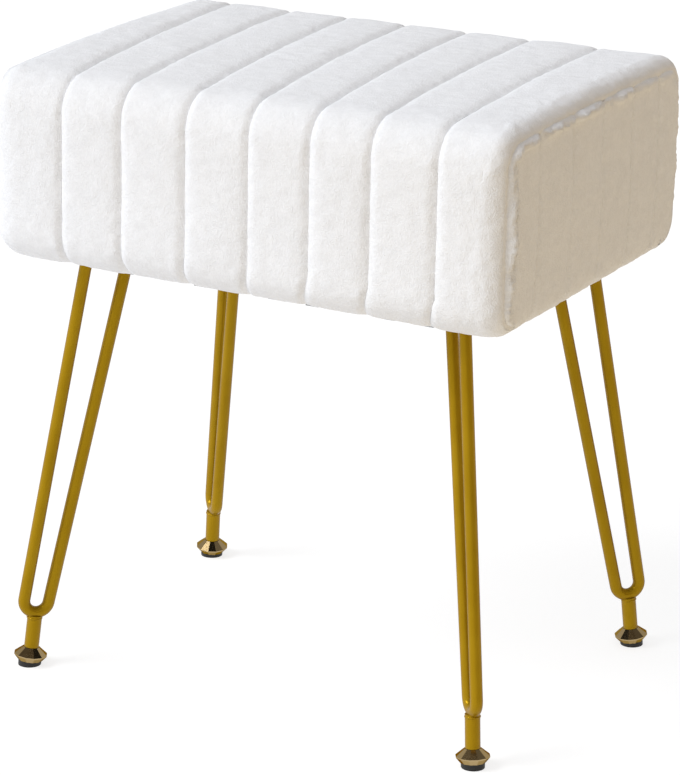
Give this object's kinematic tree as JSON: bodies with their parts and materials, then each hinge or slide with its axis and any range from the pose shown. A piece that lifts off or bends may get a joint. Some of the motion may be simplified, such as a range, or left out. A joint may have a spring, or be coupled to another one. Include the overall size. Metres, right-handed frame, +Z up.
{
  "type": "vanity stool",
  "caption": "Vanity stool with a deep channel-quilted plush seat on hairpin rod legs with screw-in levelling feet.",
  "frame": {"origin": "on the floor, under the middle of the seat", "axes": "+Z up; +X along the seat's long side; the front faces -Y"},
  "size_m": [0.408, 0.298, 0.4599],
  "materials": {
    "plush": "short white plush pile",
    "foam": "open-cell foam",
    "plywood": "sanded plywood",
    "non_woven": "spun-bonded cloth",
    "staple_wire": "bright wire",
    "gold_enamel": "satin gold powder coat",
    "black_zinc": "black zinc plate",
    "zinc_steel": "bright zinc plate",
    "plated_flange": "polished champagne plate",
    "black_rubber": "moulded rubber"
  },
  "bodies": {
    "root": {"cover_wrap": "plush", "left_end_panel": "plush", "right_end_panel": "plush", "foam_block": "foam", "seat_board": "plywood", "dust_cover": "non_woven", "staples": "staple_wire", "front_left_plate": "gold_enamel", "front_left_rod": "gold_enamel", "front_left_stub": "gold_enamel", "front_left_bolts": "black_zinc", "front_left_tee_nuts": "zinc_steel", "front_right_plate": "gold_enamel", "front_right_rod": "gold_enamel", "front_right_stub": "gold_enamel", "front_right_bolts": "black_zinc", "front_right_tee_nuts": "zinc_steel", "back_left_plate": "gold_enamel", "back_left_rod": "gold_enamel", "back_left_stub": "gold_enamel", "back_left_bolts": "black_zinc", "back_left_tee_nuts": "zinc_steel", "back_right_plate": "gold_enamel", "back_right_rod": "gold_enamel", "back_right_stub": "gold_enamel", "back_right_bolts": "black_zinc", "back_right_tee_nuts": "zinc_steel"},
    "front_left_glide": {"front_left_pad": "black_rubber"},
    "front_left_screw": {"front_left_flange": "plated_flange", "front_left_stud": "zinc_steel"},
    "front_right_glide": {"front_right_pad": "black_rubber"},
    "front_right_screw": {"front_right_flange": "plated_flange", "front_right_stud": "zinc_steel"},
    "back_left_glide": {"back_left_pad": "black_rubber"},
    "back_left_screw": {"back_left_flange": "plated_flange", "back_left_stud": "zinc_steel"},
    "back_right_glide": {"back_right_pad": "black_rubber"},
    "back_right_screw": {"back_right_flange": "plated_flange", "back_right_stud": "zinc_steel"}
  },
  "joints": [
    {"name": "front_left_foot_slide", "type": "slide", "parent": "root", "child": "front_left_glide", "axis": [-0.08, -0.08, -0.9936], "range_m": [0, 0.008]},
    {"name": "front_left_foot_turn", "type": "hinge", "parent": "front_left_glide", "child": "front_left_screw", "pos_m": [-0.1844, -0.1339, 0], "axis": [-0.08, -0.08, -0.9936], "range_deg": [0, 2880]},
    {"name": "front_right_foot_slide", "type": "slide", "parent": "root", "child": "front_right_glide", "axis": [0.08, -0.08, -0.9936], "range_m": [0, 0.008]},
    {"name": "front_right_foot_turn", "type": "hinge", "parent": "front_right_glide", "child": "front_right_screw", "pos_m": [0.1844, -0.1339, 0], "axis": [0.08, -0.08, -0.9936], "range_deg": [0, 2880]},
    {"name": "back_left_foot_slide", "type": "slide", "parent": "root", "child": "back_left_glide", "axis": [-0.08, 0.08, -0.9936], "range_m": [0, 0.008]},
    {"name": "back_left_foot_turn", "type": "hinge", "parent": "back_left_glide", "child": "back_left_screw", "pos_m": [-0.1844, 0.1339, 0], "axis": [-0.08, 0.08, -0.9936], "range_deg": [0, 2880]},
    {"name": "back_right_foot_slide", "type": "slide", "parent": "root", "child": "back_right_glide", "axis": [0.08, 0.08, -0.9936], "range_m": [0, 0.008]},
    {"name": "back_right_foot_turn", "type": "hinge", "parent": "back_right_glide", "child": "back_right_screw", "pos_m": [0.1844, 0.1339, 0], "axis": [0.08, 0.08, -0.9936], "range_deg": [0, 2880]}
  ],
  "couplings": [
    {"joint": "front_left_foot_slide", "follows": "front_left_foot_turn", "m_per_rad": 0.00015915},
    {"joint": "front_right_foot_slide", "follows": "front_right_foot_turn", "m_per_rad": 0.00015915},
    {"joint": "back_left_foot_slide", "follows": "back_left_foot_turn", "m_per_rad": 0.00015915},
    {"joint": "back_right_foot_slide", "follows": "back_right_foot_turn", "m_per_rad": 0.00015915}
  ]
}
